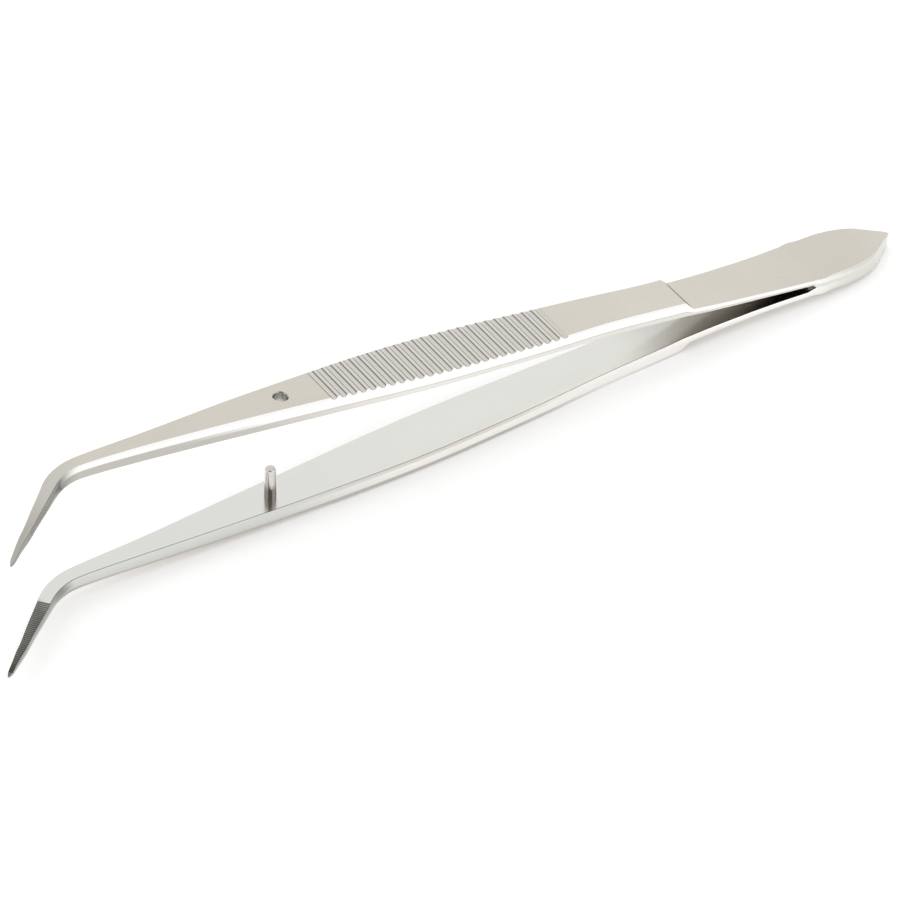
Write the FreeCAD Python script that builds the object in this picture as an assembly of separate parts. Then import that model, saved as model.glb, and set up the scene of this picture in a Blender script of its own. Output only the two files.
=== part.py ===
import FreeCAD, Part
import math
import os

# Cotton pliers: two spring arms welded at the heel and a guide pin.  Millimetres.
# The design frame has the heel point at the origin, the tips toward -X, the bend toward -Y and
# the middle plane between the arms at Z = 0.  A station is a distance along the arm's centre line
# from the heel point.  At the end everything is turned and moved as it lies on a table.

LENGTH = 156.0              # developed length of an arm, heel point to tip
ROOT = 16.0                 # end of the weld, where the slot starts
STEP = 36.9                 # the thin spring ends here
STEP_RAMP = 1.35            # length of the slope up to the thick handle
BEND_START = 133.3          # the tip turns aside from here
BEND_RADIUS = 9.4
BEND_ANGLE = math.radians(42.3)

# Half widths of the arm, each at a share of its zone, at the fullest part of the side
HEEL_OUTLINE = [(0.0, 0.1), (0.03, 0.52), (0.065, 0.98), (0.13, 1.78), (0.25, 3.2), (0.44, 4.38),
                (0.72, 4.8)]
SPRING_OUTLINE = [(0.0, 4.55), (0.38, 4.01), (0.72, 3.7)]
HANDLE_OUTLINE = [(0.0, 3.46), (0.063, 3.38), (0.157, 3.55), (0.26, 3.9), (0.385, 4.2), (0.49, 4.08),
                  (0.613, 3.47), (0.78, 2.42), (0.92, 1.52)]
TIP_OUTLINE = [(0.0, 1.17), (0.34, 0.96), (0.69, 0.6), (0.94, 0.36), (0.98, 0.26), (1.0, 0.1)]

# Height of the inner face above the middle plane
SPRING_OPENING = [(0.0, 0.5), (0.38, 0.84), (0.77, 1.38)]
HANDLE_OPENING = [(0.0, 1.85), (0.136, 3.2), (0.26, 4.25), (0.49, 5.92), (0.74, 7.38)]
TIP_OPENING = [(0.0, 8.46), (0.47, 8.76), (1.0, 9.25)]

# Thickness of the metal
SPRING_THICKNESS = [(0.0, 0.84), (1.0, 1.06)]
HANDLE_THICKNESS = [(0.0, 2.2), (0.24, 2.36), (0.49, 2.56), (0.78, 2.53)]
TIP_THICKNESS = [(0.0, 2.12), (0.21, 2.03), (0.56, 1.55), (0.956, 0.6), (1.0, 0.3)]
NOSE_TOUCH = 0.1            # the heel reaches its full height at this share of it
NOSE_HEIGHT = [(0.0, 0.8), (0.03, 0.93), (NOSE_TOUCH, 1.0), (1.0, 1.0)]     # share of full height

GRIP_LEAN = math.radians(4.915)     # the grip is ground flat at this angle to the middle plane

# The side wall has three polished strips; the outer and the inner one lean in by an inset.
# Toward the bend the two of them grow, and the wall becomes a ridge.
STRIPS = [(0.0, 0.32), (0.5, 0.32), (1.0, 0.47)]    # each one's share of the thickness
MIDDLE_LEAN = 0.12          # the middle strip takes this share of the outer inset
EDGE_BREAK = 0.75           # and the broken outer edge, at 45 degrees, this share
HEEL_INSET = [(0.0, 0.3), (0.25, 0.42), (0.6, 0.4), (1.0, 0.1)]
HANDLE_INSET = 0.36
HANDLE_INNER_INSET = [(0.0, 0.13), (0.3, 0.16), (0.6, 0.1), (1.0, 0.03)]
SPRING_INSET = 0.1
SPRING_INNER_INSET = 0.1
SEAM_INSET = 0.04           # the weld shows as a fine line round the heel
THIN_SIDE = 0.22            # an inset is never more than this share of the half width

UPPER_PAD_RAMP = 0.6        # the weld pad ends in a slope of this length
LOWER_PAD_RAMP = 1.3

GROOVES = 26
GROOVE_PITCH = 1.495
GROOVE_FIRST = 59.05        # station of the first groove's middle
GROOVE_RADIUS = 0.6
GROOVE_DEPTH = 0.27

TOOTH_PITCH = 0.37
TOOTH_DEPTH = 0.13
TOOTH_WIDTH = 0.3
TEETH_PAST_BEND = 1.2       # plain stretch between the bend and the first tooth
TEETH_END_GAP = 0.6         # and between the last tooth and the tip

GUIDE_HOLE = 103.0          # station of the hole in the upper arm
GUIDE_HOLE_DIAMETER = 2.0
HOLE_RIM = 0.14             # small countersink round the hole

PIN_LEAD = 0.64             # the pin stands this far nearer the tips than the hole
PIN_HEIGHT = 4.95
PIN_CLEARANCE = 0.52        # between the pin's end and the hole, on the diameter
PIN_TAPER = 0.24
PIN_ROUNDING = 0.3
PIN_SHOULDER = 0.25         # the shank is thinner than the pin's foot by this on the radius
SHANK_FIT = 0.01            # clearance on the radius in the pin seat
SHANK_FLUSH = 0.02          # the riveted end stays this far inside the outer face

OVERCUT = 1.0               # cutters reach this far past the metal
SLOPE_REACH = 0.5           # a slope is measured this far to each side

# How the lofts are stepped
NOSE_POINTS = 5             # the outline's first points, close together round the nose
END_POINTS = 3              # its last points, round the tip
HEEL_STEPS = 5
SPRING_STEPS = 4
HANDLE_STEPS = 10
BEND_STEPS = 4
TIP_STEPS = 4


def spread(start, end, points):
    """Points whose place is a share of a zone, as stations along the arm."""
    return [(start + (end - start) * share, value) for share, value in points]


HALF_WIDTHS = (spread(0.0, ROOT, HEEL_OUTLINE) + spread(ROOT, STEP, SPRING_OUTLINE)
               + spread(STEP, BEND_START, HANDLE_OUTLINE) + spread(BEND_START, LENGTH, TIP_OUTLINE))
OPENINGS = (spread(ROOT, STEP, SPRING_OPENING) + spread(STEP, BEND_START, HANDLE_OPENING)
            + spread(BEND_START, LENGTH, TIP_OPENING))
THICKNESSES = (spread(STEP, BEND_START, HANDLE_THICKNESS) + spread(BEND_START, LENGTH, TIP_THICKNESS))
SPRING_THICKNESSES = spread(ROOT, STEP, SPRING_THICKNESS)
NOSE_HEIGHTS = spread(0.0, ROOT, NOSE_HEIGHT)
HEEL_INSETS = spread(0.0, ROOT, HEEL_INSET)
HANDLE_INNER_INSETS = spread(STEP, BEND_START, HANDLE_INNER_INSET)
WALL_STRIPS = spread(STEP, BEND_START, STRIPS)
ARC_LENGTH = BEND_RADIUS * BEND_ANGLE
PIN_STATION = GUIDE_HOLE + PIN_LEAD
PIN_TOP_DIAMETER = GUIDE_HOLE_DIAMETER - PIN_CLEARANCE
PIN_BASE_DIAMETER = PIN_TOP_DIAMETER + PIN_TAPER
SHANK_DIAMETER = PIN_BASE_DIAMETER - 2 * PIN_SHOULDER


def smooth(points, at):
    """Value of a smooth curve through the points, level at the first one."""
    last = len(points) - 1
    at = min(max(at, points[0][0]), points[last][0])
    slopes = [0.0]
    for i in range(1, last):
        (a, u), (b, v), (c, w) = points[i - 1], points[i], points[i + 1]
        left, right = (v - u) / (b - a), (w - v) / (c - b)
        slopes.append((left * (c - b) + right * (b - a)) / (c - a))
    slopes.append((points[last][1] - points[last - 1][1]) / (points[last][0] - points[last - 1][0]))
    k = 0
    while k < last - 1 and at > points[k + 1][0]:
        k += 1
    (a, u), (b, v) = points[k], points[k + 1]
    span = b - a
    t = (at - a) / span
    return (u * (1 + 2 * t) * (1 - t) ** 2 + v * t * t * (3 - 2 * t)
            + span * (slopes[k] * t * (1 - t) ** 2 - slopes[k + 1] * t * t * (1 - t)))


def place(s, side, height):
    """Point at a station, `side` millimetres toward +Y and `height` above the middle plane."""
    turn = max(0.0, min(1.0, (s - BEND_START) / ARC_LENGTH)) * BEND_ANGLE
    past = max(0.0, s - BEND_START - ARC_LENGTH)
    x = -min(s, BEND_START) - BEND_RADIUS * math.sin(turn) - past * math.cos(turn)
    y = -BEND_RADIUS * (1 - math.cos(turn)) - past * math.sin(turn)
    return FreeCAD.Vector(x - side * math.sin(turn), y + side * math.cos(turn), height)


def section(s, low, high, inset_low, inset_high):
    """Cross-section of an arm: two flat faces, three strips of wall a side and broken outer edges."""
    half = smooth(HALF_WIDTHS, s)
    inset_low = min(inset_low, THIN_SIDE * half)
    inset_high = min(inset_high, THIN_SIDE * half)
    strip = smooth(WALL_STRIPS, s) * (high - low)
    edge = EDGE_BREAK * inset_high
    corners = [(half - inset_low, low), (half, low + strip),
               (half - MIDDLE_LEAN * inset_high, high - strip),
               (half - inset_high + edge, high - edge), (half - inset_high, high)]
    ring = [place(s, side, z) for side, z in corners]
    ring += [place(s, -side, z) for side, z in reversed(corners)]
    return Part.makePolygon(ring + ring[:1])


def heel_height():
    return smooth(OPENINGS, ROOT) + smooth(SPRING_THICKNESSES, ROOT)


def heel_section(s):
    return section(s, 0.0, heel_height() * smooth(NOSE_HEIGHTS, s), SEAM_INSET, smooth(HEEL_INSETS, s))


def spring_section(s):
    low = smooth(OPENINGS, s)
    high = low + smooth(SPRING_THICKNESSES, s)
    return section(s, low, high, SPRING_INNER_INSET, SPRING_INSET)


def handle_section(s):
    low = smooth(OPENINGS, s)
    high = low + smooth(THICKNESSES, s)
    return section(s, low, high, smooth(HANDLE_INNER_INSETS, s), HANDLE_INSET)


def stations(start, end, count):
    """Evenly spaced stations, both ends included."""
    return [start + (end - start) * i / count for i in range(count + 1)]


def blank(pad_ramp):
    """The forged arm before the grooves, teeth and holes are cut."""
    spring_start = ROOT + pad_ramp
    handle_start = STEP + STEP_RAMP
    bend_end = BEND_START + ARC_LENGTH
    nose = [point[0] for point in HALF_WIDTHS[:NOSE_POINTS]]
    end = [point[0] for point in HALF_WIDTHS[-END_POINTS:]]
    heel = nose + stations(nose[-1], ROOT, HEEL_STEPS)[1:]
    spring = stations(spring_start, STEP, SPRING_STEPS)
    handle = stations(handle_start, BEND_START, HANDLE_STEPS)
    handle += stations(BEND_START, bend_end, BEND_STEPS)[1:]
    handle += stations(bend_end, end[0], TIP_STEPS)[1:] + end[1:]
    parts = [
        Part.makeLoft([heel_section(s) for s in heel], True, False),
        Part.makeLoft([heel_section(ROOT), spring_section(spring_start)], True, True),
        Part.makeLoft([spring_section(s) for s in spring], True, False),
        Part.makeLoft([spring_section(STEP), handle_section(handle_start)], True, True),
        Part.makeLoft([handle_section(s) for s in handle], True, False),
    ]
    whole = parts[0].fuse(parts[1:]).removeSplitter()
    return whole.cut(grinding())


def grinding():
    """What is ground off so that the grip is flat and lies on a table together with the heel."""
    stone = Part.makeBox(3 * LENGTH, LENGTH, LENGTH, FreeCAD.Vector(-2 * LENGTH, -LENGTH / 2, 0))
    stone.rotate(FreeCAD.Vector(0, 0, 0), FreeCAD.Vector(0, 1, 0), math.degrees(GRIP_LEAN))
    stone.translate(FreeCAD.Vector(-ROOT * NOSE_TOUCH, 0, heel_height()))
    return stone


def outer_height(s):
    """Height of the outer face, ground or not, above the middle plane."""
    ground = heel_height() + (s - ROOT * NOSE_TOUCH) * math.tan(GRIP_LEAN)
    return min(smooth(OPENINGS, s) + smooth(THICKNESSES, s), ground)


def grip_grooves():
    """Round-bottomed cross grooves of the finger grip."""
    cutters = []
    for i in range(GROOVES):
        s = GROOVE_FIRST + GROOVE_PITCH * i
        reach = smooth(HALF_WIDTHS, s) + OVERCUT
        axis = place(s, -reach, outer_height(s) + GROOVE_RADIUS - GROOVE_DEPTH)
        cutters.append(Part.makeCylinder(GROOVE_RADIUS, 2 * reach, axis, FreeCAD.Vector(0, 1, 0)))
    return cutters


def tip_teeth():
    """Fine V-shaped cross cuts in the inner face of the tip."""
    cutters = []
    start = BEND_START + ARC_LENGTH + TEETH_PAST_BEND
    count = int((LENGTH - TEETH_END_GAP - start) / TOOTH_PITCH)
    for i in range(count + 1):
        s = start + TOOTH_PITCH * i
        reach = smooth(HALF_WIDTHS, s) + OVERCUT
        floor = smooth(OPENINGS, s)
        flare = TOOTH_WIDTH / 2 * (1 + OVERCUT / TOOTH_DEPTH)
        corners = [place(s - flare, -reach, floor - OVERCUT), place(s, -reach, floor + TOOTH_DEPTH),
                   place(s + flare, -reach, floor - OVERCUT)]
        across = place(s, reach, 0.0) - place(s, -reach, 0.0)
        face = Part.Face(Part.makePolygon(corners + corners[:1]))
        cutters.append(face.extrude(across))
    return cutters


def upright(s, height_at):
    """Direction square to the face whose height along the arm is height_at."""
    rise = height_at(s + SLOPE_REACH) - height_at(s - SLOPE_REACH)
    slope = math.atan2(rise, 2 * SLOPE_REACH)
    return FreeCAD.Vector(math.sin(slope), 0, math.cos(slope))


def guide_hole():
    """Hole for the pin, with a small countersink in the outer face."""
    up = upright(GUIDE_HOLE, outer_height)
    top = place(GUIDE_HOLE, 0.0, outer_height(GUIDE_HOLE))
    depth = smooth(THICKNESSES, GUIDE_HOLE) + OVERCUT
    radius = GUIDE_HOLE_DIAMETER / 2
    hole = Part.makeCylinder(radius, depth + OVERCUT, top - up * depth, up)
    rim = Part.makeCone(radius, radius + 2 * HOLE_RIM, 2 * HOLE_RIM, top - up * HOLE_RIM, up)
    return hole.fuse(rim)


def pin_frame():
    """Foot of the pin on the lower arm's inner face, and the pin's direction."""
    foot = place(PIN_STATION, 0.0, -smooth(OPENINGS, PIN_STATION))
    tilt = upright(PIN_STATION, lambda s: smooth(OPENINGS, s))
    return foot, FreeCAD.Vector(-tilt.x, 0, tilt.z)


def pin_seat():
    foot, up = pin_frame()
    depth = smooth(THICKNESSES, PIN_STATION) + OVERCUT
    return Part.makeCylinder(SHANK_DIAMETER / 2 + SHANK_FIT, depth + OVERCUT, foot - up * depth, up)


def make_pin():
    """Tapered pin with a rounded end and a riveted shank, turned about its axis."""
    shank = outer_height(PIN_STATION) - smooth(OPENINGS, PIN_STATION) - SHANK_FLUSH
    base, top, stem = PIN_BASE_DIAMETER / 2, PIN_TOP_DIAMETER / 2, SHANK_DIAMETER / 2
    bite = PIN_ROUNDING * (1 - math.cos(math.radians(45)))      # what the rounding takes half way
    point = [FreeCAD.Vector(r, 0, z) for r, z in (
        (0, -shank), (stem, -shank), (stem, 0), (base, 0), (top, PIN_HEIGHT - PIN_ROUNDING),
        (top - bite, PIN_HEIGHT - bite),
        (top - PIN_ROUNDING, PIN_HEIGHT), (0, PIN_HEIGHT))]
    edges = [Part.makeLine(point[i], point[i + 1]) for i in range(4)]
    edges.append(Part.Arc(point[4], point[5], point[6]).toShape())
    edges += [Part.makeLine(point[6], point[7]), Part.makeLine(point[7], point[0])]
    pin = Part.Face(Part.Wire(edges)).revolve(FreeCAD.Vector(0, 0, 0), FreeCAD.Vector(0, 0, 1), 360)
    foot, up = pin_frame()
    turn = FreeCAD.Rotation(FreeCAD.Vector(0, 0, 1), up)
    pin.Placement = FreeCAD.Placement(foot, turn)
    return pin


def lay_down(shapes):
    """Turn the pieces about Y onto the table and put the origin under the middle of the whole."""
    for shape in shapes.values():
        shape.rotate(FreeCAD.Vector(0, 0, 0), FreeCAD.Vector(0, 1, 0), math.degrees(GRIP_LEAN))
    box = Part.makeCompound(list(shapes.values())).optimalBoundingBox(False)
    shift = FreeCAD.Vector(-(box.XMin + box.XMax) / 2, -(box.YMin + box.YMax) / 2, -box.ZMin)
    for shape in shapes.values():
        shape.translate(shift)


def make_arms():
    grooves, teeth = grip_grooves(), tip_teeth()
    upper = blank(UPPER_PAD_RAMP).cut(grooves).cut(teeth).cut(guide_hole())
    lower = blank(LOWER_PAD_RAMP).cut(grooves).cut(teeth)
    lower = lower.mirror(FreeCAD.Vector(0, 0, 0), FreeCAD.Vector(0, 0, 1)).cut(pin_seat())
    return upper, lower


upper_arm, lower_arm = make_arms()
pieces = {"upper_arm": upper_arm, "lower_arm": lower_arm, "guide_pin": make_pin()}
lay_down(pieces)
os.makedirs("parts", exist_ok=True)
for name, piece in pieces.items():
    solid = piece if piece.ShapeType == "Solid" else piece.Solids[0]
    print(name, piece.ShapeType, len(piece.Solids), round(solid.Volume, 2), solid.isValid())
    solid.exportStep("parts/" + name + ".step")
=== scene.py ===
import bisect
import math
import bmesh
import bpy
from mathutils import Matrix, Vector


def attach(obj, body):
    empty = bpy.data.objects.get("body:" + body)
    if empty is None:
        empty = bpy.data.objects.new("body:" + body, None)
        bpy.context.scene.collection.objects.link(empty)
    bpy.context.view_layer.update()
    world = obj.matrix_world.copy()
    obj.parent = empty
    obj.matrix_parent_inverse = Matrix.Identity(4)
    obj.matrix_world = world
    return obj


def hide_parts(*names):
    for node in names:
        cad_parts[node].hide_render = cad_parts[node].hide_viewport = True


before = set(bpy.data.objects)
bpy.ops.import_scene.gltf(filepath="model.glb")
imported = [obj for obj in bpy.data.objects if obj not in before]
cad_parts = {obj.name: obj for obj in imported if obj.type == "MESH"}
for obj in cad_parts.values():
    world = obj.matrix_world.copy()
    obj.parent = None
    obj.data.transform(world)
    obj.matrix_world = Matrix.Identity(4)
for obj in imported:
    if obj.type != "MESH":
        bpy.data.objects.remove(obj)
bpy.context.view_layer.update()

MM = 0.001

# The camera looks down on the pliers from the front left, as a long lens does.
CAMERA_AZIMUTH = math.radians(-33.05)
CAMERA_ELEVATION = math.radians(41.53)
CAMERA_ROLL = math.radians(-0.09)
CAMERA_AIM = Vector((-4.01, -3.27, 5.0)) * MM
CAMERA_DISTANCE = 687.65 * MM
CLIP_RATIO = 100.0
SENSOR = 36.0
LENS = 202.8

# The table, the soft box over it, and the white tent round both. Places in the tent are those
# of a sphere of radius 1.
TABLE_REACH = 3.0
TABLE_DROP = 0.02 * MM
TABLE_LIFT = 0.2                    # what the table adds to its own colour before the camera
BOX_WATTS = 3.0
BOX_SIZE = 1.5
BOX_PLACE = Vector((0.05, 0.1, 1.0))
ROOM_LIGHT = 0.78                   # what the tent adds to matt surfaces
TENT_OPENING = math.radians(27)     # half angle of the hole in the tent round the camera
TENT_EDGE = math.radians(6)
OPENING_DIM = 0.75                  # how much darker than the tent its opening looks
TENT_BACK = (-0.1, 0.3)             # along Y, the tent's back sets in between these
SKIRT = (0.22, 0.0)                 # the back turns dark from the first height down to the second
CEILING = (0.35, 0.6)               # the back turns a little greyer from the first height up
CEILING_DIM = 0.14
WHITE = (1.0, 1.0, 1.0)
DARK_ROOM = (0.03, 0.03, 0.028)

# How the faces of an arm are told apart
WELD_DISTANCE = 0.0005 * MM
SHARP_EDGE = math.radians(24)
WALL_LEAN = 0.5                     # a side wall's normal points more than this to the side
LEVEL = 0.9                         # a level face's normal points more than this up or down
TOOTH_LEAN = 0.95                   # a tooth's flank points less than this to the other arm
SLOPE_LEAN = 0.3                    # the step's slope points more than this to the heel
TEETH_START = -62.5 * MM            # the toothed tips lie beyond this
GRIP = (-20.2 * MM, 17.5 * MM)
SLOPE = (37.5 * MM, 39.5 * MM)      # the step down to the thin spring lies between these
HOLE_SPOT = Vector((-26.2, 4.16)) * MM
HOLE_REACH = 1.35 * MM

# Numbers of the arm's finishes
OUTER, INNER, WALL, GRIP_FACE, CUT, BORE, STEP_SLOPE = range(7)
HEIGHT = "wall_height"      # on each corner: 0 at the arm's inner face and 1 at its outer face

# Sizes of the steel's grain along X, Y and Z, in millimetres
ALONG_THE_ARM = (1.6, 0.12, 0.12)
EVENLY = (0.15, 0.15, 0.15)
ROUND_THE_PIN = (0.4, 0.4, 0.08)
STEEL_CLOUDS = (9.0, 4.0, 9.0)
TABLE_CLOUDS = (60.0, 60.0, 60.0)
GRAIN_ROUGHNESS = 0.55
RELIEF_DEPTH = 0.01 * MM

# A finish's roughness, how far it varies, and the strength of its relief
SATIN_SHEEN = (0.27, 0.05, 0.05)
INNER_SHEEN = (0.17, 0.04, 0.05)
WALL_SHEEN = (0.2, 0.05, 0.06)
GRIP_SHEEN = (0.27, 0.1, 0.2)
TOOTH_SHEEN = (0.25, 0.1, 0.2)
BORE_SHEEN = (0.2, 0.1, 0.2)
PIN_SHEEN = (0.06, 0.03, 0.0)

# Colours, as the steel's own and its grain's
SATIN = ((0.742, 0.702, 0.627), (0.702, 0.665, 0.593))
INNER_SATIN = ((0.895, 0.89, 0.85), (0.855, 0.85, 0.81))
# The polished walls' near white is partly their polish and partly a painted highlight
UPPER_POLISH = ((0.99, 0.985, 0.965), (0.96, 0.95, 0.93))
LOWER_POLISH = ((0.985, 0.965, 0.94), (0.95, 0.93, 0.9))
# The bore's darker colour is painted shade inside the hole
BORED = ((0.56, 0.555, 0.525), (0.45, 0.445, 0.41))
RIBS = ((0.775, 0.76, 0.705), (0.7, 0.685, 0.635))
# The teeth's dark grey is painted shade
CRESTS = ((0.29, 0.29, 0.26), (0.22, 0.22, 0.197))
MIRROR = ((0.74, 0.72, 0.69), (0.66, 0.64, 0.61))
# RIB_FLANK is painted shade on the steep flanks of the grip's grooves
RIB_FLANK = (0.2, 0.19, 0.17)
# TOOTH_FLANK is painted shade in the cuts between teeth
TOOTH_FLANK = (0.015, 0.015, 0.013)
# PIN_FOOT is a painted dark reflection at the pin's foot
PIN_FOOT = (0.3, 0.28, 0.25)
# RIM paints a dark line of shade along the inner face's front edge
RIM = (0.2, 0.195, 0.18)
# Painted shade: the grey strips of reflected shade on the side walls, the line along one of them, and
# their darker greys
PAINTED_SHADE_LINE, PAINTED_SHADE_LIGHT = (0.62, 0.6, 0.56), (0.81, 0.79, 0.745)
PAINTED_SHADE_DARKER, PAINTED_SHADE_DARKEST = (0.58, 0.555, 0.515), (0.52, 0.5, 0.46)

# Where those colours come in
RIM_WIDTH = 0.28 * MM       # of the painted shade line along the inner face's front edge
RIM_TURN = (-0.06, -0.3)    # how far the normal turns to the front across that line
FLANK_TILT = (0.38, 0.62)   # how far the normal of a groove's flank tilts along the arm, as the painted shade on it sets in and is full
TOOTH_CUT = (0.02, 0.11)    # parts of the wall's height between which a cut between teeth darkens with painted shade
PIN_SHADE = (5.8, 4.2)      # millimetres of height between which the pin darkens to its foot with a painted dark reflection
EVERYWHERE = (200.0, 100.0)
WHOLE_WALL = (-2.0, -1.0)
# Painted shade: the walls turn greyer toward the tips and toward the heel
COOL_TIP = ((0.69, 0.7, 0.67), -5.0, -35.0)
GREY_HEEL = ((0.72, 0.71, 0.665), 57.0, 68.0)


class Value:
    """A socket of a material. Arithmetic on it adds Math nodes."""

    def __init__(self, surface, socket):
        self.surface = surface
        self.socket = socket

    def math(self, operation, *terms):
        return self.surface.node("ShaderNodeMath", {"operation": operation}, dict(enumerate(terms)))

    def __add__(self, other):
        return self.math("ADD", self, other)

    def __sub__(self, other):
        return self.math("SUBTRACT", self, other)

    def __rsub__(self, other):
        return self.math("SUBTRACT", other, self)

    def __mul__(self, other):
        return self.math("MULTIPLY", self, other)

    def __abs__(self):
        return self.math("ABSOLUTE", self)

    def larger(self, other):
        return self.math("MAXIMUM", self, other)

    __radd__ = __add__
    __rmul__ = __mul__


class Surface:
    """A material, or the world, that is built node by node."""

    def __init__(self, owner, output="ShaderNodeOutputMaterial"):
        owner.use_nodes = True
        self.owner = owner
        self.output = output
        self.tree = owner.node_tree
        self.tree.nodes.clear()

    def node(self, kind, settings=None, inputs=None, out=0):
        """A node with its settings, and its sockets' values or links. A colour is three numbers."""
        made = self.tree.nodes.new(kind)
        for key, value in (settings or {}).items():
            if key == "stops":
                self.set_stops(made.color_ramp, value)
            else:
                setattr(made, key, value)
        for key, value in (inputs or {}).items():
            socket = made.inputs[key]
            if isinstance(value, Value):
                self.tree.links.new(value.socket, socket)
            else:
                socket.default_value = value + (1.0,) if socket.type == "RGBA" else value
        return Value(self, made.outputs[out]) if len(made.outputs) else made

    def set_stops(self, ramp, stops):
        while len(ramp.elements) < len(stops):
            ramp.elements.new(1.0)
        for element, (place, shade) in zip(ramp.elements, stops):
            element.position = place
            element.color = (shade, shade, shade, 1.0)

    def mix(self, factor, a, b):
        """Colour a where factor is 0 and b where it is 1."""
        return self.node("ShaderNodeMix", {"data_type": "RGBA"}, {0: factor, 6: a, 7: b}, 2)

    def ramp(self, value, *stops):
        """The greys of the stops, each with its place first."""
        return self.node("ShaderNodeValToRGB", {"stops": stops}, {"Fac": value})

    def rise(self, value, start, end, top=1.0):
        """Smoothly from 0 to top while the value goes from start to end."""
        return self.node("ShaderNodeMapRange", {"interpolation_type": "SMOOTHSTEP"}, {
            "Value": value, "From Min": start, "From Max": end, "To Max": top})

    def part(self, vector, axis):
        return self.node("ShaderNodeSeparateXYZ", None, {0: vector}, axis)

    def place(self, stretch=(1.0, 1.0, 1.0)):
        """Object coordinates in millimetres, stretched."""
        spot = self.node("ShaderNodeTexCoord", out="Object")
        return self.node("ShaderNodeMapping", {"vector_type": "TEXTURE"}, {
            "Vector": spot, "Scale": tuple(s * MM for s in stretch)})

    def grain(self, stretch, detail=4.0):
        """Noise with spots of the stretch's size."""
        return self.node("ShaderNodeTexNoise", {"normalize": True}, {
            "Vector": self.place(stretch), "Scale": 1.0, "Detail": detail,
            "Roughness": GRAIN_ROUGHNESS}, "Fac")

    def change(self, tone, reach, changes):
        """The tone with other colours that come in along X, each with where it starts and is full."""
        for colour, start, full in changes:
            tone = self.mix(self.rise(reach, start, full), tone, colour)
        return tone

    def strip(self, edge, full):
        """1 on the part of a wall beyond the height full, and 0 before the height edge."""
        height = self.node("ShaderNodeAttribute", {"attribute_name": HEIGHT}, out="Fac")
        return self.rise(height, edge, full)

    def front_rim(self):
        """1 along an edge whose other side faces the front, and 0 elsewhere."""
        rounded = self.node("ShaderNodeBevel", {"samples": 8}, {"Radius": RIM_WIDTH})
        return self.rise(self.part(rounded, "Y"), *RIM_TURN)

    def seen_directly(self):
        """1 for what the camera, a reflection or glass sees, and 0 for the light on the object."""
        camera, glossy, glass = [self.node("ShaderNodeLightPath", out=ray) for ray in
                                 ("Is Camera Ray", "Is Glossy Ray", "Is Transmission Ray")]
        return camera.larger(glossy).larger(glass)

    def metal(self, tone, sheen, grain):
        """Closes the material as bare metal whose grain varies its roughness and its relief."""
        roughness, spread, relief = sheen
        inputs = {"Base Color": tone, "Metallic": 1.0,
                  "Roughness": roughness + (grain - 0.5) * spread}
        if relief:
            inputs["Normal"] = self.node("ShaderNodeBump", None, {
                "Strength": relief, "Distance": RELIEF_DEPTH, "Height": grain})
        return self.finish(self.node("ShaderNodeBsdfPrincipled", None, inputs))

    def finish(self, shader):
        self.node(self.output, None, {"Surface": shader})
        return self.owner


def steel(name, colours, sheen, stretch=ALONG_THE_ARM, strips=(), painted_shade_and_dirt=(), line=False):
    """Stainless steel with a fine grain.

    strips gives the edges and colours of strips along a wall, and the argument after it the other
    colours along X; these are painted shade and painted reflections of shade, and at the step's foot
    dirt as well as painted shade. line paints a dark line of shade along the edge that faces the
    front."""
    s = Surface(bpy.data.materials.new(name))
    own, grain_colour = colours
    reach = s.part(s.place(), "X")
    lines = s.grain(stretch)
    clouds = s.grain(STEEL_CLOUDS, detail=2.0)
    shade = s.ramp((lines + clouds) * 0.5, (0.3, 0.0), (0.7, 1.0))
    tone = s.mix(shade, grain_colour, own)
    # Strips of painted shade and painted reflections of shade along a wall
    for edge, full, changes in strips:
        tone = s.mix(s.strip(edge, full), tone, s.change(tone, reach, changes))
    # Colours along X: painted shade, and dirt with painted shade at the step's foot
    tone = s.change(tone, reach, painted_shade_and_dirt)
    # A painted shade line along the edge that faces the front
    if line:
        tone = s.mix(s.front_rim(), tone, RIM)
    return s.metal(tone, sheen, lines)


def upper_wall():
    """Bright, with a strip of painted reflected shade, edged by a painted shade line, along the lower
    edge; the strip widens toward the tip, which painted shade darkens.
    """
    return steel("upper_side_wall", UPPER_POLISH, WALL_SHEEN, strips=[
        (0.44, 0.41, [(PAINTED_SHADE_LINE, *EVERYWHERE)]),
        (0.38, 0.34, [(PAINTED_SHADE_LIGHT, *EVERYWHERE), (PAINTED_SHADE_DARKEST, -5.0, -40.0)]),
        (0.66, 0.54, [(PAINTED_SHADE_DARKEST, -25.0, -45.0)]),
    ], painted_shade_and_dirt=[((0.3, 0.29, 0.265), -57.0, -61.5), GREY_HEEL])


def lower_wall():
    """Greyer toward the tip and the heel, under the inner face and along the lower edge: painted
    shade and painted reflections of shade.
    """
    return steel("lower_side_wall", LOWER_POLISH, WALL_SHEEN, strips=[
        (*WHOLE_WALL, [COOL_TIP, ((0.3, 0.3, 0.28), -59.0, -62.5)]),
        (0.32, 0.12, [((0.7, 0.67, 0.61), 25.0, 5.0), COOL_TIP]),
        (0.75, 0.45, [((0.27, 0.27, 0.245), -59.0, -62.0)]),
        (0.66, 0.74, [(PAINTED_SHADE_DARKER, 35.0, 5.0), ((0.46, 0.46, 0.43), -56.0, -61.0)]),
    ], painted_shade_and_dirt=[GREY_HEEL])


def grip_steel():
    """The grip is duller, and painted shade draws a dark line along each flank of its grooves."""
    s = Surface(bpy.data.materials.new("ribbed_grip"))
    speck = s.grain(EVENLY)
    tilt = abs(s.part(s.node("ShaderNodeNewGeometry", out="Normal"), "X"))
    tone = s.mix(speck, RIBS[1], RIBS[0])
    tone = s.mix(s.rise(tilt, *FLANK_TILT), tone, RIB_FLANK)
    return s.metal(tone, GRIP_SHEEN, speck)


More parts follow.
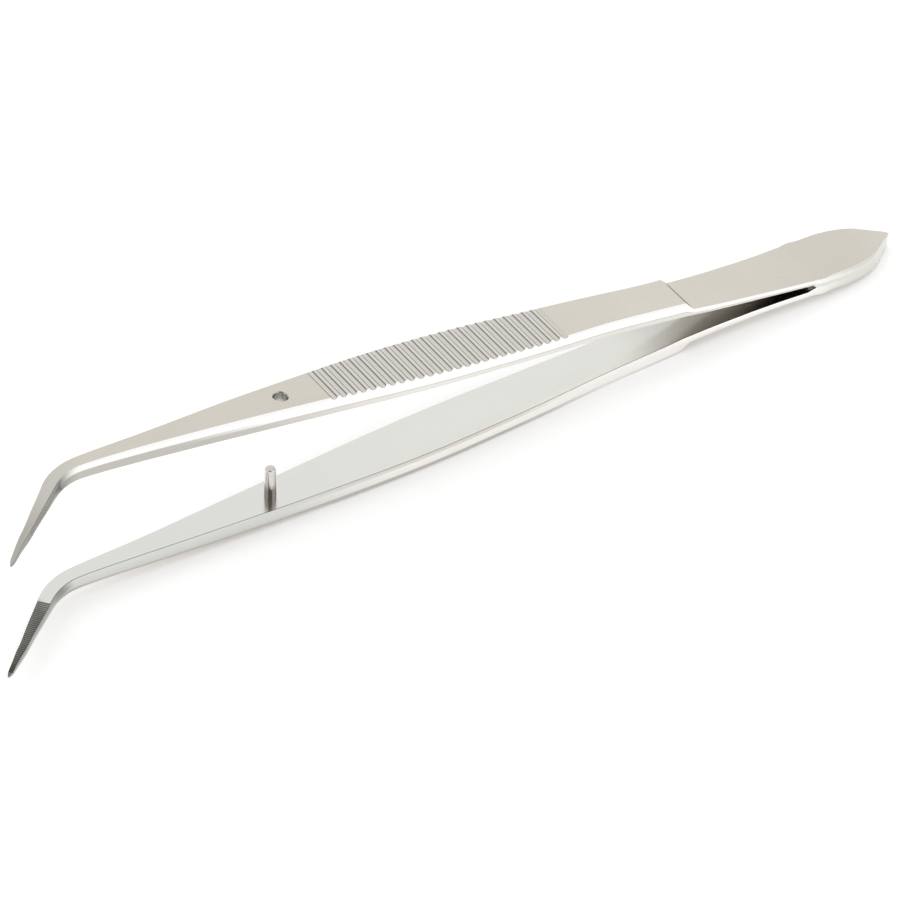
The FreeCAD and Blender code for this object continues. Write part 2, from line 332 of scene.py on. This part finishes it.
def toothed_steel():
    """The teeth are painted a shaded dark grey on their crests and nearly black with painted shade in
    the cuts between them.
    """
    s = Surface(bpy.data.materials.new("cut_teeth"))
    speck = s.grain(EVENLY)
    crest = s.mix(speck, CRESTS[1], CRESTS[0])
    return s.metal(s.mix(s.strip(*TOOTH_CUT), crest, TOOTH_FLANK), TOOTH_SHEEN, speck)


def pin_steel():
    """Mirror polish with a painted dark reflection that darkens it toward the foot."""
    s = Surface(bpy.data.materials.new("mirror_pin"))
    lines = s.grain(ROUND_THE_PIN)
    tone = s.mix(lines, MIRROR[1], MIRROR[0])
    # Painted dark reflection, darkening toward the pin's foot
    foot = s.rise(s.part(s.place(), "Z"), *PIN_SHADE)
    return s.metal(s.mix(foot, tone, PIN_FOOT), PIN_SHEEN, lines)


def arm_finishes(wall):
    """An arm's finishes, in the order of their numbers."""
    return [
        # The outer face darkens toward the tips: painted shade
        steel("satin_outer_face", SATIN, SATIN_SHEEN, painted_shade_and_dirt=[
            ((0.64, 0.625, 0.575), -55.0, -63.0), ((0.5, 0.485, 0.44), -63.0, -71.0)]),
        # Painted shade and painted reflections on the inner face: darker along the arm toward the
        # tips, dark between the arms toward the heel, dark bands at the tips, and a dark line along
        # its front edge
        steel("satin_inner_face", INNER_SATIN, INNER_SHEEN, painted_shade_and_dirt=[
            ((0.83, 0.825, 0.79), 10.0, -50.0), ((0.58, 0.56, 0.525), 27.0, 44.0),
            ((0.42, 0.42, 0.38), -64.5, -66.5), ((0.2, 0.2, 0.18), -73.0, -74.5)], line=True),
        wall,
        grip_steel(),
        toothed_steel(),
        # Darker in the bore: painted shade inside the hole
        steel("drilled_bore", BORED, BORE_SHEEN, EVENLY),
        # The slope darkens to the step's foot: dirt and painted shade in the corner
        steel("step_slope", SATIN, SATIN_SHEEN, painted_shade_and_dirt=[((0.2, 0.21, 0.215), 37.9, 38.5)]),
    ]


def face_zone(face, outward):
    """Number of the finish that a face of an arm gets."""
    normal, middle = face.normal, face.calc_center_median()
    lean = normal.z * outward
    if (middle.xy - HOLE_SPOT).length < HOLE_REACH and abs(lean) < LEVEL:
        return BORE
    if abs(normal.y) > WALL_LEAN:
        return WALL
    if lean < 0:
        return CUT if middle.x < TEETH_START and lean > -TOOTH_LEAN else INNER
    if GRIP[0] < middle.x < GRIP[1]:
        return GRIP_FACE
    return STEP_SLOPE if SLOPE[0] < middle.x < SLOPE[1] and normal.x > SLOPE_LEAN else OUTER


def height_line(form, zone):
    """Places along X and heights of all corners of the level faces of a zone."""
    corners = {corner for face in form.faces for corner in face.verts
               if face.material_index == zone and abs(face.normal.z) > LEVEL}
    return sorted((corner.co.x, corner.co.z) for corner in corners)


def height_at(line, x):
    """Height of the line at a place along X."""
    i = min(max(bisect.bisect(line, (x,)), 1), len(line) - 1)
    (a, u), (b, v) = line[i - 1], line[i]
    return u + (v - u) * min(max((x - a) / (b - a), 0.0), 1.0) if b > a else u


def write_heights(form):
    """Gives each corner its height between the inner face at 0 and the outer face at 1."""
    inner, outer = height_line(form, INNER), height_line(form, OUTER)
    height = form.verts.layers.float.new(HEIGHT)
    for corner in form.verts:
        low, high = [height_at(line, corner.co.x) for line in (inner, outer)]
        corner[height] = (corner.co.z - low) / (high - low) if high != low else 0.5


def clean_copy(node):
    """The node's mesh with its loose triangles joined."""
    form = bmesh.new()
    form.from_mesh(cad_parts[node].data)
    bmesh.ops.remove_doubles(form, verts=form.verts, dist=WELD_DISTANCE)
    form.normal_update()
    return form


def is_soft(edge):
    """Whether the surface runs on smoothly over an edge."""
    zones = {face.material_index for face in edge.link_faces}
    return len(zones) == 1 and edge.calc_face_angle(0.0) < SHARP_EDGE


def add_object(name, data):
    added = bpy.data.objects.new(name, data)
    bpy.context.scene.collection.objects.link(added)
    return added


def make_piece(name, form, finishes):
    """An object of the worked mesh, with its finishes in their order."""
    mesh = bpy.data.meshes.new(name)
    form.to_mesh(mesh)
    form.free()
    for finish in finishes:
        mesh.materials.append(finish)
    return add_object(name, mesh)


def stand_in(node, form, finishes):
    """Makes the worked mesh the piece that is shown for a node."""
    for face in form.faces:
        face.smooth = True
    for edge in form.edges:
        edge.smooth = is_soft(edge)
    piece = make_piece(node + "_dressed", form, finishes)
    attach(piece, "root")
    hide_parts(node)


def dress_arm(node, outward, finishes):
    """A copy of the arm with its finishes laid on face by face."""
    form = clean_copy(node)
    for face in form.faces:
        face.material_index = face_zone(face, outward)
    write_heights(form)
    stand_in(node, form, finishes)


def dress():
    dress_arm("upper_arm", 1.0, arm_finishes(upper_wall()))
    dress_arm("lower_arm", -1.0, arm_finishes(lower_wall()))
    stand_in("guide_pin", clean_copy("guide_pin"), [pin_steel()])


def table_sheet():
    """A white sheet that holds the shadow, a little lifted before the camera."""
    s = Surface(bpy.data.materials.new("white_table"))
    tone = s.ramp(s.grain(TABLE_CLOUDS, detail=3.0), (0.0, 0.94), (1.0, 0.96))
    sheet = s.node("ShaderNodeBsdfDiffuse", None, {"Color": tone})
    lift = s.node("ShaderNodeEmission", None, {
        "Color": WHITE, "Strength": s.seen_directly() * TABLE_LIFT})
    return s.finish(s.node("ShaderNodeAddShader", None, {0: sheet, 1: lift}))


def make_table():
    form = bmesh.new()
    bmesh.ops.create_grid(form, x_segments=1, y_segments=1, size=TABLE_REACH)
    bmesh.ops.translate(form, verts=form.verts, vec=(0.0, 0.0, -TABLE_DROP))
    make_piece("table_top", form, [table_sheet()])


def camera_direction():
    """From the object toward the camera."""
    flat = math.cos(CAMERA_ELEVATION)
    return Vector((math.sin(CAMERA_AZIMUTH) * flat, -math.cos(CAMERA_AZIMUTH) * flat,
                   math.sin(CAMERA_ELEVATION)))


def make_tent():
    """A white tent, open only where the camera looks in."""
    world = bpy.data.worlds.new("white_tent")
    bpy.context.scene.world = world
    s = Surface(world, "ShaderNodeOutputWorld")
    toward = s.node("ShaderNodeTexCoord", out="Generated")
    facing = s.node("ShaderNodeVectorMath", {"operation": "DOT_PRODUCT"}, {
        0: toward, 1: tuple(camera_direction())}, "Value")
    opening = s.rise(facing, math.cos(TENT_OPENING + TENT_EDGE), math.cos(TENT_OPENING), OPENING_DIM)
    behind = s.rise(s.part(toward, "Y"), *TENT_BACK)
    height = s.part(toward, "Z")
    low = s.rise(height, *SKIRT) * behind
    high = s.rise(height, *CEILING, CEILING_DIM) * behind
    hidden = opening.larger(low).larger(high)
    glossy = s.node("ShaderNodeLightPath", out="Is Glossy Ray")
    soft, bright, dark = [
        s.node("ShaderNodeBackground", None, {"Color": colour, "Strength": strength})
        for colour, strength in ((WHITE, ROOM_LIGHT), (WHITE, 1.0), (DARK_ROOM, 1.0))]
    seen = s.node("ShaderNodeMixShader", None, {0: s.seen_directly(), 1: soft, 2: bright})
    s.finish(s.node("ShaderNodeMixShader", None, {0: hidden * glossy, 1: seen, 2: dark}))


def hang_softbox():
    """A square lamp overhead that faces the pliers."""
    lamp = bpy.data.lights.new("ceiling_softbox", "AREA")
    lamp.shape = "SQUARE"
    lamp.size = BOX_SIZE
    lamp.energy = BOX_WATTS
    box = add_object("ceiling_softbox", lamp)
    box.location = BOX_PLACE
    box.visible_glossy = False
    box.rotation_euler = (-BOX_PLACE).to_track_quat("-Z", "Y").to_euler()


def make_camera():
    lens = bpy.data.cameras.new("long_lens")
    lens.sensor_width = SENSOR
    lens.lens = LENS
    lens.clip_start = CAMERA_DISTANCE / CLIP_RATIO
    lens.clip_end = CAMERA_DISTANCE * CLIP_RATIO
    camera = add_object("camera", lens)
    spot = Matrix.Translation(CAMERA_AIM + camera_direction() * CAMERA_DISTANCE)
    around = Matrix.Rotation(CAMERA_AZIMUTH, 4, "Z")
    tilt = Matrix.Rotation(math.pi / 2 - CAMERA_ELEVATION, 4, "X")
    roll = Matrix.Rotation(CAMERA_ROLL, 4, "Z")
    camera.matrix_world = spot @ (around @ tilt) @ roll
    bpy.context.scene.camera = camera


dress()
make_table()
make_tent()
hang_softbox()
make_camera()
bpy.context.scene.view_settings.view_transform = "Standard"
